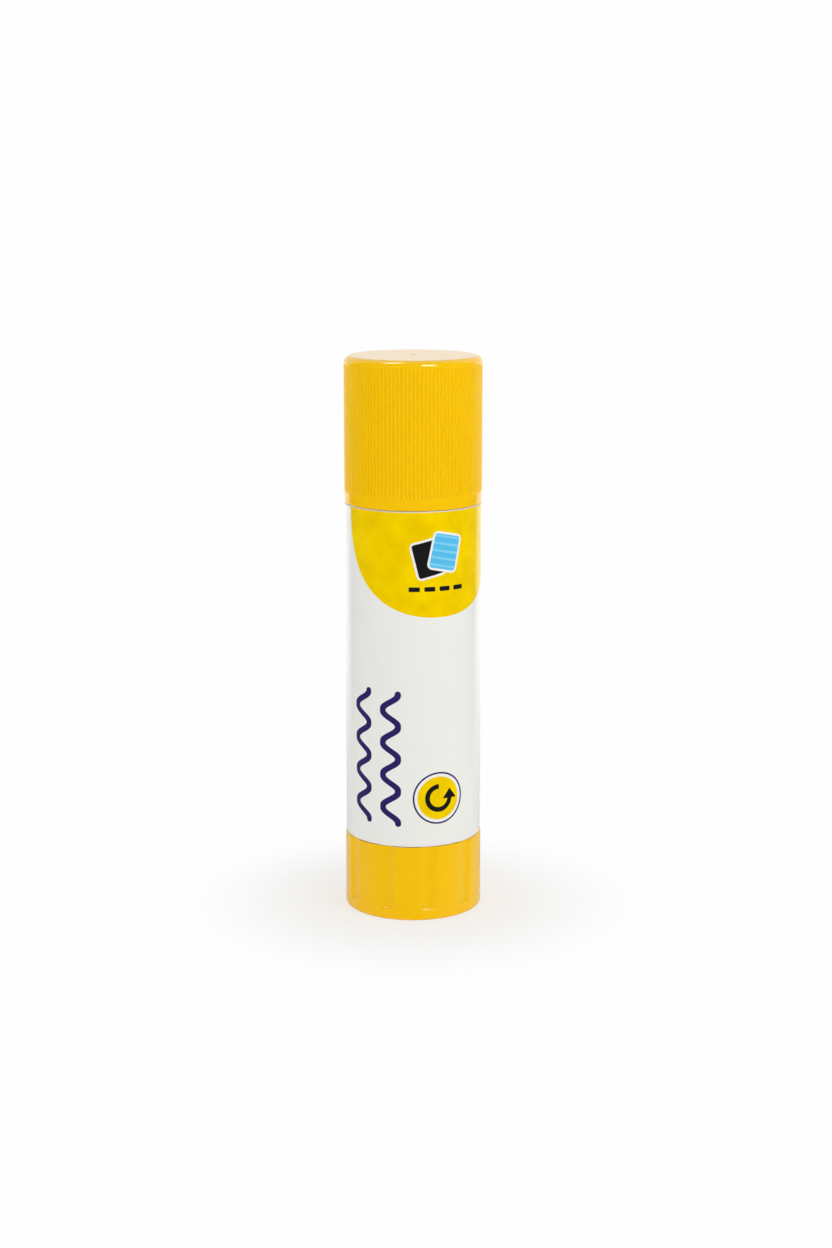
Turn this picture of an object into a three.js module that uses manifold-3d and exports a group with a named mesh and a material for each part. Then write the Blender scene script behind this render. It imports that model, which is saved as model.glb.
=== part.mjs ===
// Twist-up glue stick with its cap on, in millimetres, +Z up, standing on its knob, origin under its centre.
// The knob turns a left-hand screw. The carrier on that screw is kept from turning by ribs in the barrel's
// bore, so it climbs as the knob is turned anticlockwise seen from above, and lifts the glue out of the mouth.

import * as THREE from 'three';
import { mergeVertices } from 'three/addons/utils/BufferGeometryUtils.js';
import Module from 'manifold-3d';

const wasm = await Module();
wasm.setup();

// Clearances
const slideGap = 0.3; // beside anything that slides, and under a sliding piece at rest
const turnGap = 0.25; // between the knob's and the screw's turning faces and the barrel
const pressGap = 0.1; // round the screw's tail in the knob, where the real one is pressed
const castGap = 0.3; // between the glue and what it was cast against
const adhesiveGap = 0.03; // under the label

// Barrel
const barrelRadius = 12.2;
const bodyLength = 60.95; // from the knob to the shoulder
const neckWall = 0.8;
const barrelFloor = 1.4;
const stubLength = 6.5; // the part of the barrel that the knob turns on
const stubWall = 1.2;
const snapBeadProud = 0.2;
const snapBeadWidth = 1.2;
const snapBeadRise = 3.6; // from the shoulder to the middle of the bead
const barrelEdge = 0.2;
const mouthEdge = 0.3;

// Ribs in the bore
const boreRibCount = 4;
const boreRibHeight = 0.5;
const boreRibWidth = 0.9;
const boreRibStop = 2.1; // from the rib's upper end to the top of the glue

// Label
const labelThickness = 0.1;
const labelOverlap = 3;
const labelTopMargin = 0.15;
const labelFootMargin = 0.3;

// Cap
const capOverhang = 0.2; // beyond the barrel
const capLength = 26.25;
const capWall = 1;
const capRoof = 1.2;
const capSeat = 0.25; // from the shoulder to the cap's lower edge
const capHeadroom = 1.9; // from the mouth to the roof
const capTopRound = 1.25;
const capInnerRound = 0.6;
const capFootEdge = 0.25;
const capBandHeight = 2; // smooth, under the ribs
const capRibCount = 108;
const capGrooveWidth = 0.4; // of the grooves between the ribs
const capGrooveDepth = 0.2;
const capGrooveFade = 0.6; // over which a groove fades at each end
const capGrooveStop = 0.2; // from a groove's upper end to the rounded edge
const sealLength = 4; // plug seal under the roof, which closes the mouth
const sealWall = 0.75;
const gateMarkRadius = 0.68;
const gateMarkDepth = 0.15;

// Knob
const knobOverhang = 0.3; // beyond the barrel
const knobHeight = 13.8;
const knobWall = 1.3;
const knobFloor = 1.4;
const knobFootEdge = 0.35;
const knobTopEdge = 0.2;
const footRingWidth = 2.6;
const footRecess = 0.5;
const fluteCount = 10;
const fluteWidth = 2.9;
const fluteDepth = 0.4;
const fluteLedge = 2; // where the flutes end above the foot
const fluteTurn = 12.9; // degrees from the front to the first flute
const knobHubWall = 2;
const tailSocketFloor = 1; // above the knob's floor

// Screw
const threadRadius = 3.5;
const threadDepth = 0.9;
const threadLead = 5;
const threadCrest = 1.1; // the ridge's width at its crest
const threadRoot = 1.9; // and at its root
const threadFade = 0.5; // of a turn, at each end
const screwTip = 1.5;
const collarRadius = 5.2;
const collarThickness = 1;
const journalRadius = 3;
const tailStep = 0.2; // from the journal in to the corners of the six-sided tail

// Carrier
const carrierFloor = 1.4;
const nutLength = 8;
const nutWall = 1.8;
const cupHeight = 7;
const cupWall = 0.9;
const vaneCount = 4;
const vaneHeight = 3.5; // above the carrier's floor
const vaneThickness = 1;

// Glue
const glueHeadroom = 1.8; // from the glue to the tip of the seal
const glueCover = 3.8; // glue above the screw's channel
const glueEdge = 0.8;

// How finely round surfaces are faceted
const wallSegments = 64;
const innerSegments = 48;
const threadSteps = 12; // a turn
const cornerSteps = 3;

// Radii that fit into each other, from the outside in
const capRadius = barrelRadius + capOverhang;
const capBore = capRadius - capWall;
const neckRadius = capBore - slideGap;
const boreRadius = neckRadius - neckWall;
const boreRibTip = boreRadius - boreRibHeight;
const sealRadius = boreRadius - slideGap;
const glueRadius = boreRadius - slideGap;
const knobRadius = barrelRadius + knobOverhang;
const knobBore = knobRadius - knobWall;
const stubRadius = knobBore - slideGap;
const threadRootRadius = threadRadius - threadDepth;
const nutRadius = threadRadius + slideGap + nutWall;
const cupBore = glueRadius - cupWall;
const tailRadius = journalRadius - tailStep;
const socketRadius = tailRadius + pressGap / Math.cos(Math.PI / 6);
const knobHubRadius = socketRadius + knobHubWall;
const labelBore = barrelRadius + adhesiveGap;
const labelRadius = labelBore + labelThickness;

// Heights, from the foot up
const knobFloorTop = footRecess + knobFloor;
const bodyBottom = knobHeight + turnGap;
const barrelFloorTop = bodyBottom + barrelFloor;
const collarBottom = barrelFloorTop + turnGap;
const collarTop = collarBottom + collarThickness;
const carrierBottom = collarTop + slideGap;
const carrierFloorTop = carrierBottom + carrierFloor;
const vaneTop = carrierFloorTop + vaneHeight;
const cupTop = carrierBottom + cupHeight;
const nutTop = carrierBottom + nutLength;
const shoulder = bodyBottom + bodyLength;
const snapBead = shoulder + snapBeadRise;
const capBottom = shoulder + capSeat;
const capTop = capBottom + capLength;
const capCeiling = capTop - capRoof;
const mouth = capCeiling - capHeadroom;
const sealTip = capCeiling - sealLength;
const glueTop = sealTip - glueHeadroom;
const boreRibTop = glueTop - boreRibStop;
const channelTop = glueTop - glueCover;
const screwTop = channelTop - castGap;

// Turns a closed geometry into a solid that can be joined and cut.
function solid(geometry) {
  geometry.deleteAttribute('normal');
  geometry.deleteAttribute('uv');
  const merged = mergeVertices(geometry);
  const corners = merged.index.array;
  const kept = [];
  for (let i = 0; i < corners.length; i += 3) {
    const [a, b, c] = corners.slice(i, i + 3);
    if (a !== b && b !== c && c !== a) kept.push(a, b, c);
  }
  return new wasm.Manifold(new wasm.Mesh({
    numProp: 3,
    vertProperties: new Float32Array(merged.attributes.position.array),
    triVerts: new Uint32Array(kept),
  }));
}

// Revolves a profile of [radius, height] points about Z. The profile runs up its outer side, and it either
// starts and ends on the axis or closes on itself.
function revolve(profile, segments) {
  const loop = profile[0][0] === 0 ? profile : [...profile, profile[0]];
  const points = loop.map(([radius, height]) => new THREE.Vector2(radius, height));
  return solid(new THREE.LatheGeometry(points, segments).rotateX(Math.PI / 2));
}

// Points of a rounded corner of a profile: an arc about [radius, height] between two angles in degrees.
function corner(radius, height, round, from, to) {
  return Array.from({ length: cornerSteps + 1 }, (_, step) => {
    const angle = THREE.MathUtils.degToRad(from + ((to - from) * step) / cornerSteps);
    return [radius + round * Math.cos(angle), height + round * Math.sin(angle)];
  });
}

// Closes a skin over rings of points, each ring anticlockwise as seen from the last one's end.
function loft(rings) {
  const size = rings[0].length;
  const last = (rings.length - 1) * size;
  const index = [];
  for (let start = 0; start < last; start += size) {
    for (let k = 0; k < size; k++) {
      const a = start + k;
      const b = start + ((k + 1) % size);
      index.push(a, b, b + size, a, b + size, a + size);
    }
  }
  for (let k = 1; k < size - 1; k++) {
    index.push(0, k + 1, k, last, last + k, last + k + 1);
  }
  const geometry = new THREE.BufferGeometry().setFromPoints(rings.flat());
  geometry.setIndex(index);
  return solid(geometry);
}

// A block that reaches from one radius to another, at an angle round the axis.
function radialBlock(inner, outer, width, bottom, top, angle) {
  const block = new THREE.BoxGeometry(outer - inner, width, top - bottom);
  block.translate((inner + outer) / 2, 0, (bottom + top) / 2);
  return solid(block.rotateZ(angle));
}

function sixSidedPrism(radius, bottom, top) {
  const prism = new THREE.CylinderGeometry(radius, radius, top - bottom, 6).rotateX(Math.PI / 2);
  return solid(prism.translate(0, 0, (bottom + top) / 2));
}

// Makes one piece at each of a number of evenly spaced angles, from a first angle on.
function around(count, first, make) {
  return Array.from({ length: count }, (_, k) => make(first + (2 * Math.PI * k) / count));
}

function joinAll(body, pieces) {
  return pieces.reduce((whole, piece) => whole.add(piece), body);
}

function cutAll(body, cutters) {
  return cutters.reduce((rest, cutter) => rest.subtract(cutter), body);
}

// The ridge of the left-hand thread between two heights, or its room in the nut when grown by a gap. Each
// stretch of it lies on the same helix, so the screw and the nut are in step. Its ends fade over some turns.
function threadRidge(bottom, top, gap, fade) {
  const rise = threadLead / threadSteps;
  const first = Math.ceil(bottom / rise);
  const last = Math.floor(top / rise);
  const flank = (threadRoot - threadCrest) / 2 / threadDepth;
  const halfWidth = (radius) => threadRoot / 2 + gap - (radius - threadRootRadius) * flank;
  const base = threadRootRadius - threadDepth / 2;
  const faded = threadRootRadius - threadDepth / 8;
  const rings = [];
  for (let step = first; step <= last; step++) {
    const angle = (-2 * Math.PI * step) / threadSteps;
    const fromEnd = Math.min(step - first, last - step) / threadSteps;
    const grown = fromEnd < fade ? fromEnd / fade : 1;
    const tip = THREE.MathUtils.lerp(faded, threadRadius + gap, grown);
    const section = [
      [base, -halfWidth(base)],
      [tip, -halfWidth(tip)],
      [tip, halfWidth(tip)],
      [base, halfWidth(base)],
    ];
    rings.push(section.map(([radius, offset]) => new THREE.Vector3(
      radius * Math.cos(angle), radius * Math.sin(angle), step * rise + offset,
    )));
  }
  return loft(rings);
}

// One groove between two ribs of the cap, which fades out at both ends.
function capGroove(angle) {
  const bottom = capBottom + capBandHeight;
  const top = capTop - capTopRound - capGrooveStop;
  const clear = capRadius + capGrooveDepth;
  const floor = capRadius - capGrooveDepth;
  const stations = [
    [clear - capGrooveDepth / 2, bottom],
    [floor, bottom + capGrooveFade],
    [floor, top - capGrooveFade],
    [clear - capGrooveDepth / 2, top],
  ];
  const turn = new THREE.Matrix4().makeRotationZ(angle);
  return loft(stations.map(([root, height]) => [
    new THREE.Vector3(root, 0, height),
    new THREE.Vector3(clear, -capGrooveWidth, height),
    new THREE.Vector3(clear, capGrooveWidth, height),
  ].map((point) => point.applyMatrix4(turn))));
}

// Cap: a hollow moulding with fine ribs outside and a plug seal under its roof
function makeCap() {
  const outside = revolve([
    [0, capBottom],
    [capRadius - capFootEdge, capBottom],
    [capRadius, capBottom + capFootEdge],
    ...corner(capRadius - capTopRound, capTop - capTopRound, capTopRound, 0, 90),
    [0, capTop],
  ], capRibCount);
  const snapRoom = snapBeadWidth / 2 + slideGap;
  const hollow = revolve([
    [0, capBottom - capFootEdge],
    [capBore + capFootEdge, capBottom - capFootEdge],
    [capBore + capFootEdge, capBottom],
    [capBore, capBottom + 2 * capFootEdge],
    [capBore, snapBead - snapRoom],
    [capBore + snapBeadProud, snapBead - snapRoom / 2],
    [capBore + snapBeadProud, snapBead + snapRoom / 2],
    [capBore, snapBead + snapRoom],
    [capBore, capCeiling - capInnerRound],
    [capBore - capInnerRound, capCeiling],
    [sealRadius, capCeiling],
    [sealRadius, sealTip + sealWall],
    [sealRadius - sealWall / 2, sealTip],
    [sealRadius - sealWall, sealTip],
    [sealRadius - sealWall, capCeiling],
    [0, capCeiling],
  ], wallSegments);
  const gateMark = revolve([
    [0, capTop - gateMarkDepth],
    [gateMarkRadius / 2, capTop - gateMarkDepth],
    [gateMarkRadius, capTop],
    [gateMarkRadius, capTop + gateMarkDepth],
    [0, capTop + gateMarkDepth],
  ], threadSteps);
  return cutAll(outside, [hollow, gateMark, ...around(capRibCount, 0, capGroove)]);
}

// Barrel: body, neck for the cap, floor with the screw's bearing hole, and the stub that the knob turns on
function makeBarrel() {
  const tube = revolve([
    [stubRadius - stubWall, bodyBottom - stubLength],
    [stubRadius - barrelEdge, bodyBottom - stubLength],
    [stubRadius, bodyBottom - stubLength + barrelEdge],
    [stubRadius, bodyBottom],
    [barrelRadius - barrelEdge, bodyBottom],
    [barrelRadius, bodyBottom + barrelEdge],
    [barrelRadius, shoulder - barrelEdge],
    [barrelRadius - barrelEdge, shoulder],
    [neckRadius, shoulder],
    [neckRadius, snapBead - snapBeadWidth / 2],
    [neckRadius + snapBeadProud, snapBead - snapBeadWidth / 6],
    [neckRadius + snapBeadProud, snapBead + snapBeadWidth / 6],
    [neckRadius, snapBead + snapBeadWidth / 2],
    [neckRadius, mouth - mouthEdge],
    [neckRadius - mouthEdge, mouth],
    [boreRadius + mouthEdge / 2, mouth],
    [boreRadius, mouth - mouthEdge],
    [boreRadius, barrelFloorTop],
    [journalRadius + slideGap, barrelFloorTop],
    [journalRadius + slideGap, bodyBottom],
    [stubRadius - stubWall, bodyBottom],
  ], wallSegments);
  const inWall = boreRadius + neckWall / 2;
  const inFloor = barrelFloorTop - barrelFloor / 2;
  const ribs = around(boreRibCount, 0, (angle) => (
    radialBlock(boreRibTip, inWall, boreRibWidth, inFloor, boreRibTop, angle)
  ));
  return joinAll(tube, ribs);
}

// Room for the bore's ribs in what slides between them
function ribRoom(bottom, top) {
  return around(boreRibCount, 0, (angle) => (
    radialBlock(boreRibTip - slideGap, boreRadius, boreRibWidth + 2 * slideGap, bottom, top, angle)
  ));
}

// Label: a thin sleeve, one thickness prouder at the back, where its end laps over its start
function makeLabel() {
  const bottom = bodyBottom + labelFootMargin;
  const top = shoulder - labelTopMargin;
  const sleeve = revolve([
    [labelBore, bottom],
    [labelRadius, bottom],
    [labelRadius, top],
    [labelBore, top],
  ], wallSegments);
  const half = labelOverlap / labelRadius / 2;
  const back = Math.PI / 2;
  const lap = new THREE.Shape();
  lap.absarc(0, 0, labelRadius + labelThickness, back - half, back + half, false);
  lap.absarc(0, 0, labelBore + labelThickness / 2, back + half, back - half, true);
  const strip = new THREE.ExtrudeGeometry(lap, {
    depth: top - bottom,
    bevelEnabled: false,
    curveSegments: cornerSteps,
  });
  return sleeve.add(solid(strip.translate(0, 0, bottom)));
}

// A round-bottomed grip flute, as wide and as deep as stated where it meets the knob's round wall
function flute(angle) {
  const floor = knobRadius - fluteDepth;
  const sagitta = Math.sqrt(knobRadius ** 2 - (fluteWidth / 2) ** 2) - floor;
  const scoop = ((fluteWidth / 2) ** 2 + sagitta ** 2) / (2 * sagitta);
  const length = knobHeight - fluteLedge + fluteDepth;
  const cutter = new THREE.CylinderGeometry(scoop, scoop, length, innerSegments).rotateX(Math.PI / 2);
  cutter.translate(floor + scoop, 0, fluteLedge + length / 2);
  return solid(cutter.rotateZ(angle));
}

// Knob: a cup with grip flutes, and a hub with a six-sided socket for the screw's tail
function makeKnob() {
  const hubTop = bodyBottom - slideGap;
  const ringInner = knobRadius - footRingWidth;
  const cup = revolve([
    [0, footRecess],
    [ringInner - footRecess, footRecess],
    [ringInner, 0],
    ...corner(knobRadius - knobFootEdge, knobFootEdge, knobFootEdge, -90, 0),
    [knobRadius, knobHeight - knobTopEdge],
    [knobRadius - knobTopEdge, knobHeight],
    [knobBore, knobHeight],
    [knobBore, knobFloorTop],
    [knobHubRadius, knobFloorTop],
    [knobHubRadius, hubTop],
    [0, hubTop],
  ], wallSegments);
  const socket = sixSidedPrism(socketRadius, knobFloorTop + tailSocketFloor, hubTop + tailSocketFloor);
  const firstFlute = THREE.MathUtils.degToRad(fluteTurn - 90);
  return cutAll(cup, [socket, ...around(fluteCount, firstFlute, flute)]);
}

// Screw: threaded shank, collar that rests over the barrel's floor, journal in its hole, and six-sided tail
function makeSpindle() {
  const seat = bodyBottom - slideGap + pressGap;
  const shank = revolve([
    [0, seat],
    [journalRadius, seat],
    [journalRadius, collarBottom],
    [collarRadius, collarBottom],
    [collarRadius, collarTop],
    [threadRootRadius, collarTop],
    [threadRootRadius, screwTop - screwTip],
    [threadRootRadius / 2, screwTop],
    [0, screwTop],
  ], threadSteps);
  const tail = sixSidedPrism(tailRadius, knobFloorTop + tailSocketFloor + slideGap, seat + turnGap);
  const thread = threadRidge(collarTop + threadRoot / 2, screwTop - screwTip, 0, threadFade);
  return joinAll(shank, [tail, thread]);
}

// Carrier: a nut on the screw and a cup for the foot of the glue, grooved for the ribs in the bore
function makeCarrier() {
  const blank = revolve([
    [0, carrierBottom],
    [glueRadius, carrierBottom],
    [glueRadius, cupTop],
    [cupBore, cupTop],
    [cupBore, carrierFloorTop],
    [nutRadius, carrierFloorTop],
    [nutRadius, nutTop],
    [0, nutTop],
  ], innerSegments);
  const inNut = nutRadius - nutWall / 2;
  const inCup = cupBore + cupWall / 4;
  const inFloor = carrierFloorTop - carrierFloor / 2;
  const vanes = around(vaneCount, Math.PI / vaneCount, (angle) => (
    radialBlock(inNut, inCup, vaneThickness, inFloor, vaneTop, angle)
  ));
  const below = carrierBottom - threadLead;
  const above = nutTop + threadLead;
  const hole = revolve([
    [0, below],
    [threadRootRadius + slideGap, below],
    [threadRootRadius + slideGap, above],
    [0, above],
  ], threadSteps);
  return cutAll(joinAll(blank, vanes), [
    ...ribRoom(carrierBottom - slideGap, cupTop + slideGap),
    hole,
    threadRidge(below, above, slideGap, 0),
  ]);
}

// Glue: cast into the cup and round the nut and the screw, with a groove for each rib in the bore
function makeGlue() {
  const foot = cupBore - castGap;
  const nutRoom = nutRadius + castGap;
  const channel = threadRadius + slideGap;
  const stick = revolve([
    [0, channelTop],
    [channel, channelTop],
    [channel, nutTop + castGap],
    [nutRoom, nutTop + castGap],
    [nutRoom, carrierFloorTop + castGap],
    [foot, carrierFloorTop + castGap],
    [foot, cupTop + castGap],
    [glueRadius, cupTop + castGap],
    ...corner(glueRadius - glueEdge, glueTop - glueEdge, glueEdge, 0, 90),
    [0, glueTop],
  ], innerSegments);
  const vaneRoom = around(vaneCount, Math.PI / vaneCount, (angle) => (
    radialBlock(channel, cupBore, vaneThickness + 2 * castGap, carrierFloorTop, vaneTop + castGap, angle)
  ));
  return cutAll(stick, [...ribRoom(cupTop, boreRibTop + slideGap), ...vaneRoom]);
}

// Materials
const yellowPlastic = new THREE.MeshStandardMaterial({ color: 0xf3c10e, roughness: 0.3, metalness: 0 });
const whitePlastic = new THREE.MeshStandardMaterial({ color: 0xe9eae6, roughness: 0.35, metalness: 0 });
const printedFilm = new THREE.MeshStandardMaterial({ color: 0xe7e9e4, roughness: 0.45, metalness: 0 });
const gluePaste = new THREE.MeshStandardMaterial({ color: 0xf4f3ec, roughness: 0.5, metalness: 0 });

// A named sub-part with a material of its own
function subPart(name, body, material) {
  const { vertProperties, triVerts } = body.getMesh();
  const geometry = new THREE.BufferGeometry();
  geometry.setAttribute('position', new THREE.BufferAttribute(vertProperties, 3));
  geometry.setIndex(new THREE.BufferAttribute(triVerts, 1));
  geometry.computeVertexNormals();
  const mesh = new THREE.Mesh(geometry, material.clone());
  mesh.name = name;
  return mesh;
}

const glueStick = new THREE.Group();
glueStick.add(
  subPart('cap', makeCap(), yellowPlastic),
  subPart('barrel', makeBarrel(), whitePlastic),
  subPart('label', makeLabel(), printedFilm),
  subPart('knob', makeKnob(), yellowPlastic),
  subPart('spindle', makeSpindle(), whitePlastic),
  subPart('carrier', makeCarrier(), whitePlastic),
  subPart('glue', makeGlue(), gluePaste),
);

export default glueStick;
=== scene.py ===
# %% [markdown]
# A twist-up glue stick on a white studio floor.
#
# The real thing is five mouldings, a printed film and the glue itself, and they nest in each other. This
# lesson models each of them from a primitive, gives it a finish built from nodes, and lights it like a
# product photograph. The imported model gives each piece's radius and its ends, so that everything here fits
# inside it, and what it doesn't give is a named size in millimetres.

# %% Load the frame
import math

import bmesh
import bpy
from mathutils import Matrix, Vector


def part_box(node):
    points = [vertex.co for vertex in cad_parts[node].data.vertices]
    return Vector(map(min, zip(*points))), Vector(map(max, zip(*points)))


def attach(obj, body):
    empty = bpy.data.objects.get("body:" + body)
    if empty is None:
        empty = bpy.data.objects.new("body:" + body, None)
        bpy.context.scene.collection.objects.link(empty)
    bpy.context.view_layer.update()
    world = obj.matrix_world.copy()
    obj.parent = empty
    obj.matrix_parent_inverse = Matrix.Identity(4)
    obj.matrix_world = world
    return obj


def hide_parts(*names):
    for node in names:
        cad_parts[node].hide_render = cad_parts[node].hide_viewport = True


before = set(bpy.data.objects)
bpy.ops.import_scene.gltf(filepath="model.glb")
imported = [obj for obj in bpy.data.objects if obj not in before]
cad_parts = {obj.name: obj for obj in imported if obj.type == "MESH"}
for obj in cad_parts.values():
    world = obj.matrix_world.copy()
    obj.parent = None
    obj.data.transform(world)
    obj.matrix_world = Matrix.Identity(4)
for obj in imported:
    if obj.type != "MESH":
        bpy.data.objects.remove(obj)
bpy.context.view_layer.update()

MM = 0.001

# %% [markdown]
# Sizes. A node's box gives its radius and its ends. Everything below is worked out in millimetres, the
# unit a mould maker would use, and is turned into metres only where Blender is handed a number.

# %% Read the sizes of the pieces from the frame
def ends(node):
    """The radius, lowest height and highest height of a round node, in millimetres."""
    low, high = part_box(node)
    return high.x / MM, low.z / MM, high.z / MM


CAP_RADIUS, CAP_FOOT, CAP_TOP = ends("cap")
BARREL_RADIUS, STUB_FOOT, MOUTH = ends("barrel")
LABEL_RADIUS, _, _ = ends("label")
KNOB_RADIUS, KNOB_FOOT, KNOB_TOP = ends("knob")
COLLAR_RADIUS, TAIL_FOOT, SCREW_TOP = ends("spindle")
GLUE_RADIUS, GLUE_FOOT, GLUE_TOP = ends("glue")
_, CARRIER_FOOT, NUT_TOP = ends("carrier")
CARRIER_RADIUS = GLUE_RADIUS  # its own box ends in its grooves
print(f"cap {CAP_RADIUS:.2f} mm radius, from {CAP_FOOT:.2f} to {CAP_TOP:.2f} mm high")

# %% [markdown]
# The camera comes first, because it says what will be seen. It stands forty centimetres away with a long
# lens and looks down by twelve degrees, which was worked out from the curves of the stick's round edges in
# the photograph. Blender's lens is in millimetres on a sensor whose long side is 36 mm, and the long side of
# this picture is its height.

# %% Camera
CAMERA_ASIDE = 0.51
CAMERA_DISTANCE = 401.3
CAMERA_HEIGHT = 137.4
CAMERA_PITCH = math.radians(11.942)
FOCAL_PIXELS = 2247.5
PICTURE_HEIGHT = 1248
SENSOR = 36.0

bpy.ops.object.select_all(action="DESELECT")
bpy.ops.object.camera_add(
    location=(CAMERA_ASIDE * MM, -CAMERA_DISTANCE * MM, CAMERA_HEIGHT * MM),
    rotation=(math.pi / 2 - CAMERA_PITCH, 0, 0),
)
camera = bpy.context.object
camera.data.sensor_width = SENSOR
camera.data.lens = FOCAL_PIXELS * SENSOR / PICTURE_HEIGHT
camera.data.clip_start = 0.01
bpy.context.scene.camera = camera
print(f"camera lens {camera.data.lens:.1f} mm")

# %% [markdown]
# A profile is half of a turned piece's section, from its axis outwards. It is given as corners, each with
# the size of the round that a mould has there, because no moulded edge is truly sharp and it is the round
# that catches the light. A point is also held close to both ends of every straight stretch: smooth shading
# blends the normals of neighbouring faces, and the held points keep that blend out of the flat parts.

# %% Profiles with rounded corners
ROUND_STEPS = 3
LARGE_ROUND = 0.5
HOLD = 0.05


def rounded(corners):
    """A profile of (radius, height) points from corners of (radius, height, size of the round)."""
    points = []
    for k, (radius, height, size) in enumerate(corners):
        here = Vector((radius, height))
        if size == 0:
            points.append(here)
            continue
        back = (Vector(corners[k - 1][:2]) - here).normalized()
        ahead = (Vector(corners[(k + 1) % len(corners)][:2]) - here).normalized()
        half = back.angle(ahead) / 2
        centre = here + (back + ahead).normalized() * size / math.sin(half)
        start = here + back * size / math.tan(half) - centre
        end = here + ahead * size / math.tan(half) - centre
        steps = ROUND_STEPS if size < LARGE_ROUND else 2 * ROUND_STEPS
        points += [centre + start.slerp(end, step / steps) * size for step in range(steps + 1)]
    return held([(point.x, point.y) for point in points])


def held(points):
    """The same points, and one more close to each end of every long straight stretch."""
    kept = points[:1]
    for (r0, h0), (r1, h1) in zip(points, points[1:]):
        length = math.hypot(r1 - r0, h1 - h0)
        for share, radius in ((HOLD / length, r0), (1 - HOLD / length, r1)):
            if length > 8 * HOLD and radius > 0:
                kept.append((r0 + (r1 - r0) * share, h0 + (h1 - h0) * share))
        kept.append((r1, h1))
    return kept


peg = rounded([(0, 0, 0), (5, 0, 0.4), (5, 20, 0.8), (0, 20, 0)])
print(f"a peg with 4 corners has a profile of {len(peg)} points")

# %% [markdown]
# Turning. Each moulding starts as a plane primitive that is merged to a single point. That point is
# extruded from corner to corner to draw the profile, and the profile is spun about the axis, which is how
# one would draw a lathe part by hand. Spin can leave the shape inside out, so the normals are recalculated
# once the doubled points are merged.

# %% Turn a profile into a piece
WELD = 0.0005 * MM
SMOOTH = 40


def deselect_all():
    if bpy.context.object and bpy.context.object.mode == "EDIT":
        bpy.ops.object.mode_set(mode="OBJECT")
    bpy.ops.object.select_all(action="DESELECT")


def place(radius, height, turn):
    """The point at a radius and height in millimetres, turned from the front towards +X by some degrees."""
    angle = math.radians(turn)
    return Vector((radius * math.sin(angle), -radius * math.cos(angle), height)) * MM


def drawn(name, profile, turn):
    """A chain of edges through a profile's points, in edit mode, in the plane at an angle from the front."""
    deselect_all()
    places = [place(radius, height, turn) for radius, height in profile]
    bpy.ops.mesh.primitive_plane_add(size=MM, location=places[0])
    piece = bpy.context.object
    piece.name = piece.data.name = name
    bpy.ops.object.transform_apply(location=True, rotation=False, scale=False)
    bpy.ops.object.mode_set(mode="EDIT")
    bpy.ops.mesh.select_mode(type="VERT")
    bpy.ops.mesh.select_all(action="SELECT")
    bpy.ops.mesh.merge(type="CENTER")
    for old, new in zip(places, places[1:]):
        bpy.ops.mesh.extrude_vertices_move(TRANSFORM_OT_translate={"value": new - old})
    bpy.ops.mesh.select_all(action="SELECT")
    bpy.ops.mesh.remove_doubles(threshold=WELD)
    return piece


def finish_mesh(piece, smooth=SMOOTH):
    """Merges doubles, turns the faces outwards and shades the piece smooth up to an angle in degrees."""
    if bpy.context.object.mode != "EDIT":
        bpy.ops.object.mode_set(mode="EDIT")
    bpy.ops.mesh.select_all(action="SELECT")
    bpy.ops.mesh.remove_doubles(threshold=WELD)
    bpy.ops.mesh.normals_make_consistent(inside=False)
    bpy.ops.object.mode_set(mode="OBJECT")
    bpy.ops.object.shade_smooth_by_angle(angle=math.radians(smooth))


def turned(name, profile, steps, first=90, turn=360):
    """A piece spun from a profile. Its first edge line lies at an angle from the front, in degrees."""
    piece = drawn(name, profile, first)
    bpy.ops.mesh.spin(steps=steps, angle=math.radians(turn), center=(0, 0, 0), axis=(0, 0, 1))
    finish_mesh(piece, SMOOTH)
    bpy.ops.object.mode_set(mode="EDIT")
    return piece


def repeated(piece, times):
    """Copies a wedge of a piece round the axis until it closes. Spin does that too, with dupli."""
    bpy.ops.mesh.select_all(action="SELECT")
    angle = 2 * math.pi * (times - 1) / times
    bpy.ops.mesh.spin(steps=times - 1, angle=angle, dupli=True, center=(0, 0, 0), axis=(0, 0, 1))


def report(piece):
    low, high = piece.bound_box[0], piece.bound_box[6]
    size = " x ".join(f"{(b - a) / MM:.2f}" for a, b in zip(low, high))
    print(f"{piece.name}: {len(piece.data.polygons)} faces, {size} mm")


# %% [markdown]
# Grooves and flutes. What repeats round a piece is modelled once, in a wedge. Points of its wall are picked
# by where they are, and drawn in towards the axis with a resize about it. Then the wedge is copied round.

# %% Pick points by place and draw them in
def pick(piece, test):
    """Selects the points of a piece in edit mode that pass test(radius, height, turn)."""
    mesh = bmesh.from_edit_mesh(piece.data)
    for point in mesh.verts:
        x, y, z = point.co
        point.select = test(math.hypot(x, y) / MM, z / MM, math.degrees(math.atan2(x, -y)))
    mesh.select_flush_mode()
    bmesh.update_edit_mesh(piece.data)


def off_centre(turn, first, pitch):
    """How far an angle is from the nearest of a ring of features, in degrees."""
    return abs((turn - first + pitch / 2) % pitch - pitch / 2)


def draw_in(depth, radius):
    """Moves the selected points, which lie at about a radius, towards the axis."""
    factor = 1 - depth / radius
    bpy.ops.transform.resize(value=(factor, factor, 1), center_override=(0, 0, 0))


print(f"100 degrees is {off_centre(100, 0, 36):.0f} degrees from the nearest of ten features")

# %% [markdown]
# The cap is one polypropylene moulding. Outside it has 108 fine ribs, parted by narrow grooves that fade
# out at both ends, a smooth band at its lower edge and a well rounded shoulder. The flat top has the mark
# of the gate through which the mould was filled. Inside are the groove for the neck's snap bead and a plug
# seal that closes the mouth. The profile runs from the gate mark down the outside and back up inside.

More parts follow.
